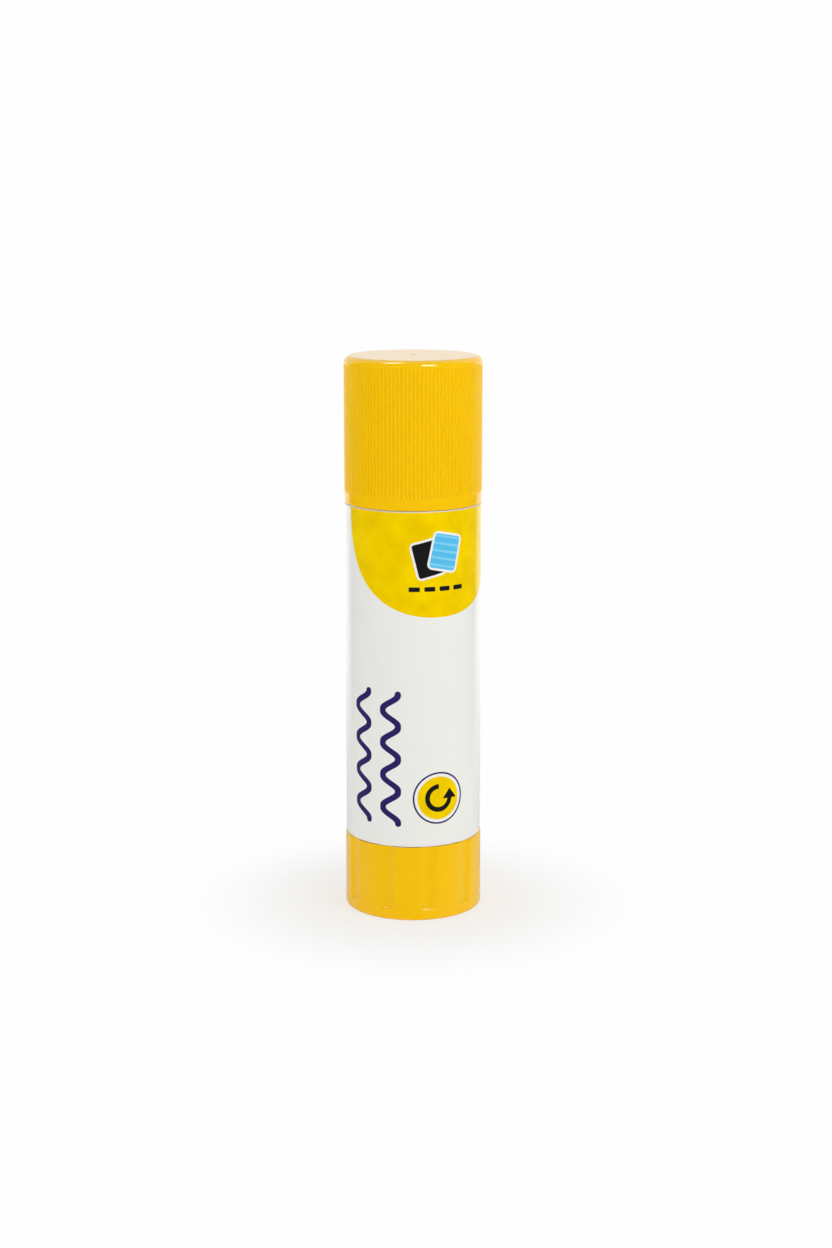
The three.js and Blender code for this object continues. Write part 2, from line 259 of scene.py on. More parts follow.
# %% Cap profile
CAP_WALL = 1.0
CAP_ROOF = 1.2
CAP_SHOULDER_ROUND = 1.25
CAP_FOOT_ROUND = 0.25
CAP_BAND = 2.0
GATE_RADIUS = 0.68
GATE_DEPTH = 0.15
BEAD_HEIGHT = 78.6
BEAD_PROUD = 0.2
BEAD_HALF = 0.6
BEAD_CREST_HALF = 0.2
BEAD_ROOM_HALF = 0.9
BEAD_ROOM_CREST_HALF = 0.4
SEAL_RADIUS = 10.0
SEAL_WALL = 0.75
SEAL_LENGTH = 4.0
GROOVE_FADE = 0.6
GROOVE_STOP = 0.05
FADE_SHAPE = {0.0: 0.0, 0.1: 0.15, 0.25: 0.5, 0.45: 0.82, 0.7: 0.96, 1.0: 1.0}

cap_bore = CAP_RADIUS - CAP_WALL
cap_ceiling = CAP_TOP - CAP_ROOF
seal_tip = cap_ceiling - SEAL_LENGTH
groove_bottom = CAP_FOOT + CAP_BAND
groove_top = CAP_TOP - CAP_SHOULDER_ROUND - GROOVE_STOP
upper_fade = [groove_top - share * GROOVE_FADE for share in FADE_SHAPE]
lower_fade = [groove_bottom + share * GROOVE_FADE for share in reversed(FADE_SHAPE)]

cap_corners = [
    (0, CAP_TOP - GATE_DEPTH, 0),
    (GATE_RADIUS - GATE_DEPTH, CAP_TOP - GATE_DEPTH, 0.1),
    (GATE_RADIUS, CAP_TOP, 0.05),
    (CAP_RADIUS, CAP_TOP, CAP_SHOULDER_ROUND),
    *[(CAP_RADIUS, height, 0) for height in upper_fade + lower_fade],
    (CAP_RADIUS, CAP_FOOT, CAP_FOOT_ROUND),
    (cap_bore, CAP_FOOT, 0.2),
    (cap_bore, BEAD_HEIGHT - BEAD_ROOM_HALF, 0.15),
    (cap_bore + BEAD_PROUD, BEAD_HEIGHT - BEAD_ROOM_CREST_HALF, 0.15),
    (cap_bore + BEAD_PROUD, BEAD_HEIGHT + BEAD_ROOM_CREST_HALF, 0.15),
    (cap_bore, BEAD_HEIGHT + BEAD_ROOM_HALF, 0.15),
    (cap_bore, cap_ceiling, 0.6),
    (SEAL_RADIUS, cap_ceiling, 0.1),
    (SEAL_RADIUS, seal_tip, 0.35),
    (SEAL_RADIUS - SEAL_WALL, seal_tip, 0.15),
    (SEAL_RADIUS - SEAL_WALL, cap_ceiling, 0.1),
    (0, cap_ceiling, 0),
]
print(f"grooves from {groove_bottom:.2f} to {groove_top:.2f} mm high")

# %% Cap
CAP_RIBS = 108
RIB_STEPS = 8
GROOVE_FIRST = 90
GROOVE_DEPTH = 0.15
GROOVE_SHAPE = {0: 1.0, 1: 0.8, 2: 0.25, 3: 0.02}
CAP_SMOOTH = 55

rib_pitch = 360 / CAP_RIBS
rib_step = rib_pitch / RIB_STEPS
cap = turned("cap_moulding", rounded(cap_corners), RIB_STEPS, GROOVE_FIRST + rib_pitch / 2, rib_pitch)


def in_fade(height, share):
    """Whether a height lies at a share of the fade from the nearer end of a groove, or past a whole one."""
    beyond = min(height - groove_bottom, groove_top - height) - share * GROOVE_FADE
    return beyond > -HOLD / 2 if share == 1 else abs(beyond) < HOLD / 2


for share, depth_there in FADE_SHAPE.items():
    for steps_away, depth_across in GROOVE_SHAPE.items():
        pick(cap, lambda radius, height, turn: (
            radius > CAP_RADIUS - HOLD
            and in_fade(height, share)
            and abs(off_centre(turn, GROOVE_FIRST, rib_pitch) - steps_away * rib_step) < rib_step / 2
        ))
        draw_in(GROOVE_DEPTH * depth_there * depth_across, CAP_RADIUS)
repeated(cap, CAP_RIBS)
finish_mesh(cap, CAP_SMOOTH)
report(cap)

# %% [markdown]
# The knob is a cup with ten grip flutes. A flute is a shallow round scoop, and its floor comes forward
# over a small ledge near the foot, where it catches a bright line of light. Where the scoop meets the wall
# the edge is soft, so the smaller of the two radii is taken with a blend between them.

# %% Knob profile
KNOB_WALL = 1.3
KNOB_FLOOR = 1.9
FOOT_RING = 2.6
FOOT_RECESS = 0.5
HUB_RADIUS = 4.92
HUB_DROP = 0.05
FLUTE_LEDGE = 1.9
LEDGE_SHAPE = {0.0: 0.0, 0.08: 0.1, 0.2: 0.5, 0.32: 0.9, 0.42: 1.0}

ring_inner = KNOB_RADIUS - FOOT_RING
knob_bore = KNOB_RADIUS - KNOB_WALL
ledge_full = max(LEDGE_SHAPE)
knob_corners = [
    (0, FOOT_RECESS, 0),
    (ring_inner - FOOT_RECESS, FOOT_RECESS, 0.15),
    (ring_inner, KNOB_FOOT, 0.1),
    (KNOB_RADIUS, KNOB_FOOT, 0.35),
    *[(KNOB_RADIUS, FLUTE_LEDGE + rise, 0) for rise in LEDGE_SHAPE],
    (KNOB_RADIUS, KNOB_TOP, 0.2),
    (knob_bore, KNOB_TOP, 0.15),
    (knob_bore, KNOB_FLOOR, 0.3),
    (HUB_RADIUS, KNOB_FLOOR, 0.3),
    (HUB_RADIUS, KNOB_TOP - HUB_DROP, 0.15),
    (0, KNOB_TOP - HUB_DROP, 0),
]
print(f"ledge from {FLUTE_LEDGE:.2f} to {FLUTE_LEDGE + ledge_full:.2f} mm high")

# %% Knob
FLUTES = 10
FLUTE_STEPS = 72
FLUTE_FIRST = 12.9
FLUTE_WIDTH = 2.9
FLUTE_DEPTH = 0.4
EDGE_BLEND = 0.05

flute_pitch = 360 / FLUTES
flute_step = flute_pitch / FLUTE_STEPS
flute_floor = KNOB_RADIUS - FLUTE_DEPTH
outer_wall = KNOB_RADIUS - 2 * FLUTE_DEPTH / 3
sagitta = math.sqrt(KNOB_RADIUS ** 2 - (FLUTE_WIDTH / 2) ** 2) - flute_floor
scoop = ((FLUTE_WIDTH / 2) ** 2 + sagitta ** 2) / (2 * sagitta)


def flute_depth(turn):
    """How deep the knob's wall lies at an angle from a flute's middle, in degrees, with its soft edges."""
    angle = math.radians(turn)
    centre = flute_floor + scoop
    within = scoop ** 2 - (centre * math.sin(angle)) ** 2
    if within < 0:
        return 0
    depth = KNOB_RADIUS - (centre * math.cos(angle) - math.sqrt(within))
    blend = max(EDGE_BLEND - abs(depth), 0)
    return max(depth, 0) + blend ** 2 / (4 * EDGE_BLEND)


wedge_start = FLUTE_FIRST + flute_pitch / 2
knob = turned("knob_moulding", rounded(knob_corners), FLUTE_STEPS, wedge_start, flute_pitch)
steps_across = next(k for k in range(FLUTE_STEPS) if flute_depth(k * flute_step) == 0)
for rise, depth_there in LEDGE_SHAPE.items():
    for steps_away in range(steps_across):
        pick(knob, lambda radius, height, turn: (
            radius > outer_wall
            and (height - FLUTE_LEDGE > rise - HOLD / 2 if rise == ledge_full
                 else abs(height - FLUTE_LEDGE - rise) < HOLD / 2)
            and abs(off_centre(turn, FLUTE_FIRST, flute_pitch) - steps_away * flute_step) < flute_step / 2
        ))
        draw_in(flute_depth(steps_away * flute_step) * depth_there, KNOB_RADIUS)
repeated(knob, FLUTES)
finish_mesh(knob)
report(knob)

# %% [markdown]
# The screw's six-sided tail is pressed into a socket of its own shape in the hub. A hole like that is
# cleanest as a Boolean: a six-sided prism is taken out of the solid hub, with a corner at the front.

# %% Socket in the knob's hub
SOCKET_RADIUS = 2.915
SOCKET_FLOOR = 2.9
OVERSHOOT = 1


def six_sided(radius, foot, top):
    """A prism with six sides, one corner of which lies at the front."""
    deselect_all()
    bpy.ops.mesh.primitive_cylinder_add(
        vertices=6, radius=radius * MM, depth=(top - foot) * MM, location=(0, 0, (foot + top) / 2 * MM),
    )
    return bpy.context.object


def combine(piece, tool, operation):
    """Applies a Boolean of a tool to a piece and deletes the tool."""
    deselect_all()
    piece.select_set(True)
    bpy.context.view_layer.objects.active = piece
    modifier = piece.modifiers.new("combine", "BOOLEAN")
    modifier.object = tool
    modifier.operation = operation
    bpy.ops.object.modifier_apply(modifier="combine")
    bpy.data.objects.remove(tool)


combine(knob, six_sided(SOCKET_RADIUS, SOCKET_FLOOR, KNOB_TOP + OVERSHOOT), "DIFFERENCE")
finish_mesh(knob)
report(knob)

# %% [markdown]
# The barrel is a plain white tube with a thinner neck for the cap, a bead on it that the cap snaps over,
# and a stub below that the knob turns on. Four ribs in its bore keep the carrier from turning, so that it
# has to climb. They are drawn in from the bore's own wall and run down into its floor.

# %% Barrel
NECK_RADIUS = 11.1
BORE_RADIUS = 10.3
SHOULDER = 75.18
EDGE_ROUND = 0.2
BODY_FOOT = 13.86
FOOT_ROUND = 0.06
BARREL_FLOOR = 15.45
STUB_RADIUS = 10.9
STUB_WALL = 1.2
HOLE_RADIUS = 3.3
BORE_RIBS = 4
BORE_RIB_DEPTH = 0.5
BORE_RIB_TOP = 92.4
BORE_RIB_SLOPE = 0.3
RIB_HALF_WIDTH = 2.5
NEAR_WALL = 0.3
QUARTER_STEPS = 90

barrel_corners = [
    (STUB_RADIUS - STUB_WALL, STUB_FOOT, 0.15),
    (STUB_RADIUS, STUB_FOOT, 0.2),
    (STUB_RADIUS, BODY_FOOT, 0.1),
    (BARREL_RADIUS, BODY_FOOT, FOOT_ROUND),
    (BARREL_RADIUS, SHOULDER, EDGE_ROUND),
    (NECK_RADIUS, SHOULDER, 0.1),
    (NECK_RADIUS, BEAD_HEIGHT - BEAD_HALF, 0.1),
    (NECK_RADIUS + BEAD_PROUD, BEAD_HEIGHT - BEAD_CREST_HALF, 0.1),
    (NECK_RADIUS + BEAD_PROUD, BEAD_HEIGHT + BEAD_CREST_HALF, 0.1),
    (NECK_RADIUS, BEAD_HEIGHT + BEAD_HALF, 0.1),
    (NECK_RADIUS, MOUTH, 0.3),
    (BORE_RADIUS, MOUTH, 0.2),
    (BORE_RADIUS, BORE_RIB_TOP, 0),
    (BORE_RADIUS, BORE_RIB_TOP - BORE_RIB_SLOPE, 0),
    (BORE_RADIUS, BARREL_FLOOR, 0.2),
    (HOLE_RADIUS, BARREL_FLOOR, 0.1),
    (HOLE_RADIUS, BODY_FOOT, 0.1),
    (STUB_RADIUS - STUB_WALL, BODY_FOOT, 0.2),
]
barrel_profile = rounded(barrel_corners)
barrel = turned("barrel_tube", barrel_profile + barrel_profile[:1], QUARTER_STEPS, first=45, turn=90)
pick(barrel, lambda radius, height, turn: (
    BORE_RADIUS - NEAR_WALL < radius < BORE_RADIUS + HOLD
    and BARREL_FLOOR - HOLD < height < BORE_RIB_TOP - BORE_RIB_SLOPE + HOLD
    and off_centre(turn, 0, 360 / BORE_RIBS) < RIB_HALF_WIDTH
))
draw_in(BORE_RIB_DEPTH, BORE_RADIUS)
repeated(barrel, BORE_RIBS)
finish_mesh(barrel)
report(barrel)

# %% [markdown]
# The label is a film a tenth of a millimetre thick. It goes once round the barrel and laps over its own
# start at the back by three millimetres, which shows as one fine upright step. The film climbs over its
# start in a short slope and ends in a clean cut. It covers the barrel's straight wall between its two rounds.

# %% Label
FILM = 0.1
LAP = 3.0
LAP_CLIMB = 3.0
LABEL_STEPS = 720

film_foot = BODY_FOOT + 2 * FOOT_ROUND
film_top = SHOULDER - EDGE_ROUND
lap_half = math.degrees(LAP / 2 / LABEL_RADIUS)
label_step = 360 / LABEL_STEPS
label_corners = [
    (LABEL_RADIUS - FILM, film_foot, 0),
    (LABEL_RADIUS, film_foot, 0),
    (LABEL_RADIUS, film_top, 0),
    (LABEL_RADIUS - FILM, film_top, 0),
]
label_profile = rounded(label_corners)
label = turned("label_film", label_profile + label_profile[:1], LABEL_STEPS)
for k in range(round(2 * lap_half / label_step) + 1):
    reach = k * label_step
    pick(label, lambda radius, height, turn: (
        radius > LABEL_RADIUS - FILM / 2 and abs(turn % 360 - (180 - lap_half + reach)) < label_step / 2
    ))
    draw_in(-FILM * min(reach / LAP_CLIMB, 1), LABEL_RADIUS)
finish_mesh(label)
report(label)

# %% [markdown]
# The glue is cast into the carrier's cup and round the screw. It shrinks as it cools, so its top is a
# little dished, and its wall has a groove for each of the barrel's ribs. This is what the cap uncovers.

# %% Glue
SLIDE_GAP = 0.3
CUP_TOP = 24.0
CUP_BORE = 9.1
CARRIER_FLOOR = 18.4
NUT_RADIUS = 5.6
CHANNEL_RADIUS = 3.8
CHANNEL_TOP = 90.7
GROOVE_HALF_WIDTH = 4.5
GLUE_DISH = 0.5
DISH_SHAPE = ((0.75, 0.3, 4), (0.3, 1, 6))

glue_corners = [
    (0, CHANNEL_TOP, 0),
    (CHANNEL_RADIUS, CHANNEL_TOP, 0.4),
    (CHANNEL_RADIUS, NUT_TOP + SLIDE_GAP, 0.1),
    (NUT_RADIUS + SLIDE_GAP, NUT_TOP + SLIDE_GAP, 0.2),
    (NUT_RADIUS + SLIDE_GAP, GLUE_FOOT, 0.2),
    (CUP_BORE - SLIDE_GAP, GLUE_FOOT, 0.2),
    (CUP_BORE - SLIDE_GAP, CUP_TOP + SLIDE_GAP, 0.1),
    (GLUE_RADIUS, CUP_TOP + SLIDE_GAP, 0.2),
    (GLUE_RADIUS, BORE_RIB_TOP + SLIDE_GAP, 0),
    (GLUE_RADIUS, BORE_RIB_TOP + 2 * SLIDE_GAP, 0),
    (GLUE_RADIUS, GLUE_TOP, 0.8),
    *[(GLUE_RADIUS * out, GLUE_TOP - GLUE_DISH * drop, size) for out, drop, size in DISH_SHAPE],
    (0, GLUE_TOP - GLUE_DISH, 0),
]
glue = turned("glue_mass", rounded(glue_corners), QUARTER_STEPS, first=45, turn=90)
pick(glue, lambda radius, height, turn: (
    radius > GLUE_RADIUS - NEAR_WALL
    and height < BORE_RIB_TOP + SLIDE_GAP + HOLD
    and off_centre(turn, 0, 360 / BORE_RIBS) < GROOVE_HALF_WIDTH
))
draw_in(BORE_RIB_DEPTH, GLUE_RADIUS)
repeated(glue, BORE_RIBS)
finish_mesh(glue)
report(glue)

# %% [markdown]
# The screw is what takes the most skill on this object. Its thread is left-handed, so that turning the
# knob anticlockwise, seen from above, sends the carrier up, and it climbs five millimetres a turn. One turn
# of the thread's profile is drawn and the Screw modifier sweeps it. The ridge has to grow out of the shank
# over half a turn at each end, so points there get a weight, and a Cast modifier presses them onto the
# shank by that weight. The rims that are left open are then drawn out into tip, collar and journal.

# %% Sweep a thread
LEAD = 5.0
THREAD_RADIUS = 3.5
THREAD_DEPTH = 0.9
THREAD_CREST = 1.1
THREAD_ROOT = 1.9
THREAD_STEPS = 48

shank_radius = THREAD_RADIUS - THREAD_DEPTH


def swept_thread(name, foot, top, gap=0):
    """The skin of a left-hand thread that covers a stretch from a foot to a top, grown by a gap."""
    flank = (THREAD_ROOT - THREAD_CREST) / 2 / THREAD_DEPTH
    turns = math.ceil((top - foot) / LEAD) + 3
    ridge = LEAD * (math.floor(foot / LEAD) - 1)
    half_root = THREAD_ROOT / 2 + gap - gap * flank
    half_crest = THREAD_CREST / 2 + gap - gap * flank
    corners = [
        (shank_radius + gap, ridge - LEAD / 2, 0),
        (shank_radius + gap, ridge - half_root, 0.15),
        (THREAD_RADIUS + gap, ridge - half_crest, 0.12),
        (THREAD_RADIUS + gap, ridge + half_crest, 0.12),
        (shank_radius + gap, ridge + half_root, 0.15),
        (shank_radius + gap, ridge + LEAD / 2, 0),
    ]
    piece = drawn(name, rounded(corners), 90)
    bpy.ops.object.mode_set(mode="OBJECT")
    screw = piece.modifiers.new("sweep", "SCREW")
    screw.angle = -2 * math.pi
    screw.screw_offset = LEAD * MM
    screw.iterations = turns
    screw.steps = screw.render_steps = THREAD_STEPS
    bpy.ops.object.modifier_apply(modifier="sweep")
    bpy.ops.object.mode_set(mode="EDIT")
    bpy.ops.mesh.select_all(action="SELECT")
    bpy.ops.mesh.remove_doubles(threshold=WELD)
    return piece


def cut_off(height, keep_above, fill=False):
    """Cuts the piece in edit mode at a height and leaves the cut's rim selected."""
    bpy.ops.mesh.select_all(action="SELECT")
    bpy.ops.mesh.bisect(
        plane_co=(0, 0, height * MM), plane_no=(0, 0, 1), use_fill=fill, threshold=1e-8,
        clear_inner=keep_above, clear_outer=not keep_above,
    )


def draw_on(path):
    """Extrudes the selected rim along a path of (radius, height) points and closes it."""
    for (radius, height), (new_radius, new_height) in zip(path, path[1:]):
        rise = (new_height - height) * MM
        bpy.ops.mesh.extrude_region_move(TRANSFORM_OT_translate={"value": (0, 0, rise)})
        factor = new_radius / radius
        bpy.ops.transform.resize(value=(factor, factor, 1), center_override=(0, 0, 0))
    bpy.ops.mesh.edge_face_add()


print(f"thread {2 * THREAD_RADIUS:.1f} mm across on a shank {2 * shank_radius:.1f} mm across")

# %% Screw
THREAD_FOOT = 18.1
THREAD_FADE = LEAD / 2
THREAD_STOP = 0.5
TIP_LENGTH = 1.5
TIP_FLAT = 0.7
COLLAR_TOP = 16.7
COLLAR_FOOT = 15.7
JOURNAL_RADIUS = 3.0
JOURNAL_FOOT = 13.85
JOURNAL_RIM = 0.3
TAIL_RADIUS = 2.8
TAIL_SUNK = 0.5

tip_foot = SCREW_TOP - TIP_LENGTH
spindle = swept_thread("screw", COLLAR_TOP, tip_foot)
bpy.ops.object.mode_set(mode="OBJECT")
faded = spindle.vertex_groups.new(name="faded")
for point in spindle.data.vertices:
    x, y, z = point.co
    turns_down = math.atan2(y, x) / (2 * math.pi)
    ridge = LEAD * (round(z / MM / LEAD + turns_down) - turns_down)
    full = min(ridge - THREAD_FOOT, tip_foot - THREAD_STOP - ridge) / THREAD_FADE
    faded.add([point.index], 1 - min(max(full, 0), 1), "REPLACE")
press = spindle.modifiers.new("press", "CAST")
press.cast_type = "CYLINDER"
press.factor = 1
press.use_z = False
press.use_radius_as_size = False
press.size = shank_radius * MM
press.vertex_group = "faded"
bpy.ops.object.modifier_apply(modifier="press")
spindle.vertex_groups.clear()

bpy.ops.object.mode_set(mode="EDIT")
cut_off(COLLAR_TOP, keep_above=True)
draw_on(rounded([
    (shank_radius, COLLAR_TOP, 0),
    (COLLAR_RADIUS, COLLAR_TOP, 0.1),
    (COLLAR_RADIUS, COLLAR_FOOT, 0.1),
    (JOURNAL_RADIUS, COLLAR_FOOT, 0),
    (JOURNAL_RADIUS, JOURNAL_FOOT, 0.15),
    (JOURNAL_RADIUS - JOURNAL_RIM, JOURNAL_FOOT, 0),
]))
cut_off(tip_foot, keep_above=False)
draw_on(rounded([
    (shank_radius, tip_foot, 0),
    (shank_radius / 2, SCREW_TOP, 0.3),
    (TIP_FLAT, SCREW_TOP, 0),
]))
finish_mesh(spindle)
combine(spindle, six_sided(TAIL_RADIUS, TAIL_FOOT, JOURNAL_FOOT + TAIL_SUNK), "UNION")
finish_mesh(spindle)
report(spindle)

# %% [markdown]
# The carrier is a cup that holds the glue's foot, round a nut that rides on the screw. Four vanes stiffen
# the nut. The nut's thread is the screw's own, grown by the gap that lets it slide, and taken out of it.

# %% Carrier
VANE_TOP = 21.9
VANE_THICKNESS = 1.0
VANE_REACH = 9.4
VANE_SUNK = 0.5
CARRIER_RIM = 0.35

carrier = turned("glue_carrier", rounded([
    (0, CARRIER_FOOT, 0),
    (CARRIER_RADIUS, CARRIER_FOOT, 0.3),
    (CARRIER_RADIUS, CUP_TOP, 0.15),
    (CUP_BORE, CUP_TOP, 0.15),
    (CUP_BORE, CARRIER_FLOOR, 0.4),
    (NUT_RADIUS, CARRIER_FLOOR, 0.3),
    (NUT_RADIUS, NUT_TOP, 0.2),
    (0, NUT_TOP, 0),
]), QUARTER_STEPS, first=45, turn=90)
pick(carrier, lambda radius, height, turn: (
    radius > CARRIER_RADIUS - CARRIER_RIM and off_centre(turn, 0, 360 / BORE_RIBS) < GROOVE_HALF_WIDTH
))
draw_in(BORE_RIB_DEPTH, CARRIER_RADIUS)
repeated(carrier, BORE_RIBS)
finish_mesh(carrier)
vane_foot = CARRIER_FLOOR - VANE_SUNK
for lean in (45, 135):
    deselect_all()
    bpy.ops.mesh.primitive_cube_add(
        size=1,
        location=(0, 0, (vane_foot + VANE_TOP) / 2 * MM),
        rotation=(0, 0, math.radians(lean)),
        scale=(2 * VANE_REACH * MM, VANE_THICKNESS * MM, (VANE_TOP - vane_foot) * MM),
    )
    combine(carrier, bpy.context.object, "UNION")
hole = swept_thread("hole", CARRIER_FOOT - OVERSHOOT, NUT_TOP + OVERSHOOT, SLIDE_GAP)
cut_off(CARRIER_FOOT - OVERSHOOT, keep_above=True, fill=True)
cut_off(NUT_TOP + OVERSHOOT, keep_above=False, fill=True)
finish_mesh(hole)
combine(carrier, hole, "DIFFERENCE")
finish_mesh(carrier)
report(carrier)

# %% [markdown]
# Finishes start here. A formula in a material is a chain of Math nodes, which is tedious to wire by hand,
# so a small class wires them: adding or multiplying two of its values makes the node for it. Every pattern
# reads Object coordinates, and so it stays on its piece when the piece moves.

# %% Values that vary over a surface
class Field:
    """A number that varies over a surface, worked out by Math nodes."""

    def __init__(self, tree, socket):
        self.tree = tree
        self.socket = socket

    def math(self, operation, *others, clamp=False):
        node = self.tree.nodes.new("ShaderNodeMath")
        node.operation = operation
        node.use_clamp = clamp
        for entry, value in zip(node.inputs, (self, *others)):
            if isinstance(value, Field):
                self.tree.links.new(value.socket, entry)
            else:
                entry.default_value = value
        return Field(self.tree, node.outputs[0])

    def __add__(self, other):
        return self.math("ADD", other)

    def __sub__(self, other):
        return self.math("SUBTRACT", other)

    def __mul__(self, other):
        return self.math("MULTIPLY", other)

    def __truediv__(self, other):
        return self.math("DIVIDE", other)

    def __pow__(self, other):
        return self.math("POWER", other)

    def __abs__(self):
        return self.math("ABSOLUTE")


def screen(red, green, blue):
    """A colour as it looks on a screen, from 0 to 255, in the linear numbers that a shader takes."""
    shares = [value / 255 for value in (red, green, blue)]
    linear = [share / 12.92 if share <= 0.04045 else ((share + 0.055) / 1.055) ** 2.4 for share in shares]
    return (*linear, 1)


print(f"a middle grey on the screen is {screen(128, 128, 128)[0]:.3f} in a shader")

# %% [markdown]
# A material's skeleton is the same for all four finishes: a Principled shader with its plain numbers set on
# its own sockets, and a height field that goes through one Bump node. The colour and the roughness are
# linked, because they vary over the surface.

# %% The skeleton of a finish
def new_finish(name, **numbers):
    """A material with a Principled shader, whose plain numbers are set on its sockets."""
    material = bpy.data.materials.new(name)
    material.use_nodes = True
    shader = material.node_tree.nodes["Principled BSDF"]
    for socket, value in numbers.items():
        shader.inputs[socket.replace("_", " ").title().replace("Ior", "IOR")].default_value = value
    return material, material.node_tree, shader


def object_place(tree):
    return tree.nodes.new("ShaderNodeTexCoord").outputs["Object"]


def noise(tree, per_mm, detail=2.0, stretch=(1, 1, 1)):
    """Cloudy noise from 0 to 1 with so many waves a millimetre, stretched along the axes."""
    mapping = tree.nodes.new("ShaderNodeMapping")
    mapping.inputs["Scale"].default_value = stretch
    texture = tree.nodes.new("ShaderNodeTexNoise")
    texture.inputs["Scale"].default_value = per_mm / MM
    texture.inputs["Detail"].default_value = detail
    tree.links.new(object_place(tree), mapping.inputs["Vector"])
    tree.links.new(mapping.outputs["Vector"], texture.inputs["Vector"])
    return Field(tree, texture.outputs["Fac"])


def blend(tree, share, low, high):
    """A colour between two, by a field from 0 to 1. Either may itself be a colour socket."""
    node = tree.nodes.new("ShaderNodeMix")
    node.data_type = "RGBA"
    tree.links.new(share.socket, node.inputs["Factor"])
    for entry, colour in ((node.inputs[6], low), (node.inputs[7], high)):
        if isinstance(colour, bpy.types.NodeSocket):
            tree.links.new(colour, entry)
        else:
            entry.default_value = colour
    return node.outputs[2]


def raise_surface(tree, shader, height_mm):
    """Bumps the surface by a field of heights in millimetres."""
    bump = tree.nodes.new("ShaderNodeBump")
    bump.inputs["Distance"].default_value = MM
    tree.links.new(height_mm.socket, bump.inputs["Height"])
    tree.links.new(bump.outputs["Normal"], shader.inputs["Normal"])


# %% [markdown]
# The yellow polypropylene of the cap and the knob is a warm, glossy colour, slightly cloudy because light
# goes a little way into it. Its gloss isn't perfect: the mould's polish leaves faint ripples and a very fine
# grain, which bend and soften what it mirrors.

# %% Yellow polypropylene
def make_yellow_plastic():
    material, tree, shader = new_finish(
        "yellow_polypropylene", ior=1.49, subsurface_weight=0.2, subsurface_scale=0.6 * MM,
        subsurface_radius=(1.0, 0.6, 0.1),
    )
    cloud = noise(tree, 0.06)
    colour = blend(tree, cloud, screen(249, 194, 1), screen(252, 201, 3))
    tree.links.new(colour, shader.inputs["Base Color"])
    gloss = noise(tree, 0.4) * 0.05 + 0.06
    tree.links.new(gloss.socket, shader.inputs["Roughness"])
    raise_surface(tree, shader, noise(tree, 0.25) * 0.01 + noise(tree, 9.0) * 0.0003)
    return material


# %% [markdown]
# The barrel, the screw and the carrier are moulded from the same resin without pigment other than white.
# It looks a little cooler and more see-through than paper, and its gloss is softer than the yellow's.

# %% White polypropylene
def make_white_plastic():
    material, tree, shader = new_finish(
        "white_polypropylene", ior=1.49, subsurface_weight=0.25, subsurface_scale=1.0 * MM,
        subsurface_radius=(1.0, 0.95, 0.85),
    )
    colour = blend(tree, noise(tree, 0.08), screen(228, 229, 225), screen(236, 237, 233))
    tree.links.new(colour, shader.inputs["Base Color"])
    gloss = noise(tree, 0.5) * 0.08 + 0.28
    tree.links.new(gloss.socket, shader.inputs["Roughness"])
    raise_surface(tree, shader, noise(tree, 0.3) * 0.01 + noise(tree, 8.0) * 0.0005)
    return material


# %% [markdown]
# Glue from a stick is a stiff white soap gel. It lets light in deep, is waxy rather than glossy, and shows
# fine upright drag marks where it slid in the bore.

# %% Glue paste
def make_glue_paste():
    material, tree, shader = new_finish(
        "glue_paste", ior=1.45, subsurface_weight=0.6, subsurface_scale=1.5 * MM,
        subsurface_radius=(1.0, 0.95, 0.8),
    )
    colour = blend(tree, noise(tree, 0.15, 4), screen(233, 232, 222), screen(244, 243, 236))
    tree.links.new(colour, shader.inputs["Base Color"])
    gloss = noise(tree, 0.8, 3) * 0.2 + 0.35
    tree.links.new(gloss.socket, shader.inputs["Roughness"])
    drag = noise(tree, 1.2, 3, stretch=(1, 1, 0.03)) * 0.03
    raise_surface(tree, shader, drag + noise(tree, 0.7, 4) * 0.03)
    return material


# %% [markdown]
# The label's print. A point of the film is placed by how far along it lies, in millimetres from the front,
# and how high. Each printed shape is a distance from its edge, negative inside, made of a few Math nodes,
# and the ink covers where that distance is below zero. The shapes are plain ones: a yellow field with a
# round lower end, two sheets of paper, a dashed line, two wavy lines of glue and a turning arrow.

# %% Distances to the edges of shapes
INK_EDGE = 0.06


def length(across, up):
    return (across * across + up * up) ** 0.5


def disc(along, up, centre, radius):
    return length(along - centre[0], up - centre[1]) - radius


def box(along, up, centre, half_size, corner):
    """A box with rounded corners."""
    across = abs(along - centre[0]) - (half_size[0] - corner)
    rise = abs(up - centre[1]) - (half_size[1] - corner)
    outside = length(across.math("MAXIMUM", 0), rise.math("MAXIMUM", 0))
    inside = across.math("MAXIMUM", rise).math("MINIMUM", 0)
    return outside + inside - corner


def turned_by(along, up, centre, degrees):
    """The two coordinates turned about a centre, so that a box drawn in them leans."""
    across = along - centre[0]
    rise = up - centre[1]
    cosine = math.cos(math.radians(degrees))
    sine = math.sin(math.radians(degrees))
    return across * cosine + rise * sine + centre[0], rise * cosine - across * sine + centre[1]


def swelling_field(along, up, centre, half_size, power):
    """An oval that is fuller than an ellipse by its power."""
    across = (abs(along - centre[0]) / half_size[0]) ** power
    rise = (abs(up - centre[1]) / half_size[1]) ** power
    return ((across + rise) ** (1 / power) - 1) * min(half_size)


def wave(along, up, centre, swing, pitch, width):
    """A wavy upright line, whose distance is corrected for its slope."""
    turn = (up - centre[1]) * (2 * math.pi / pitch)
    off = abs(along - centre[0] - turn.math("COSINE") * swing)
    slope = turn.math("SINE") * (swing * 2 * math.pi / pitch)
    return off / ((slope * slope + 1) ** 0.5) - width / 2


def both(one, other):
    return one.math("MAXIMUM", other)


def either(one, other):
    return one.math("MINIMUM", other)


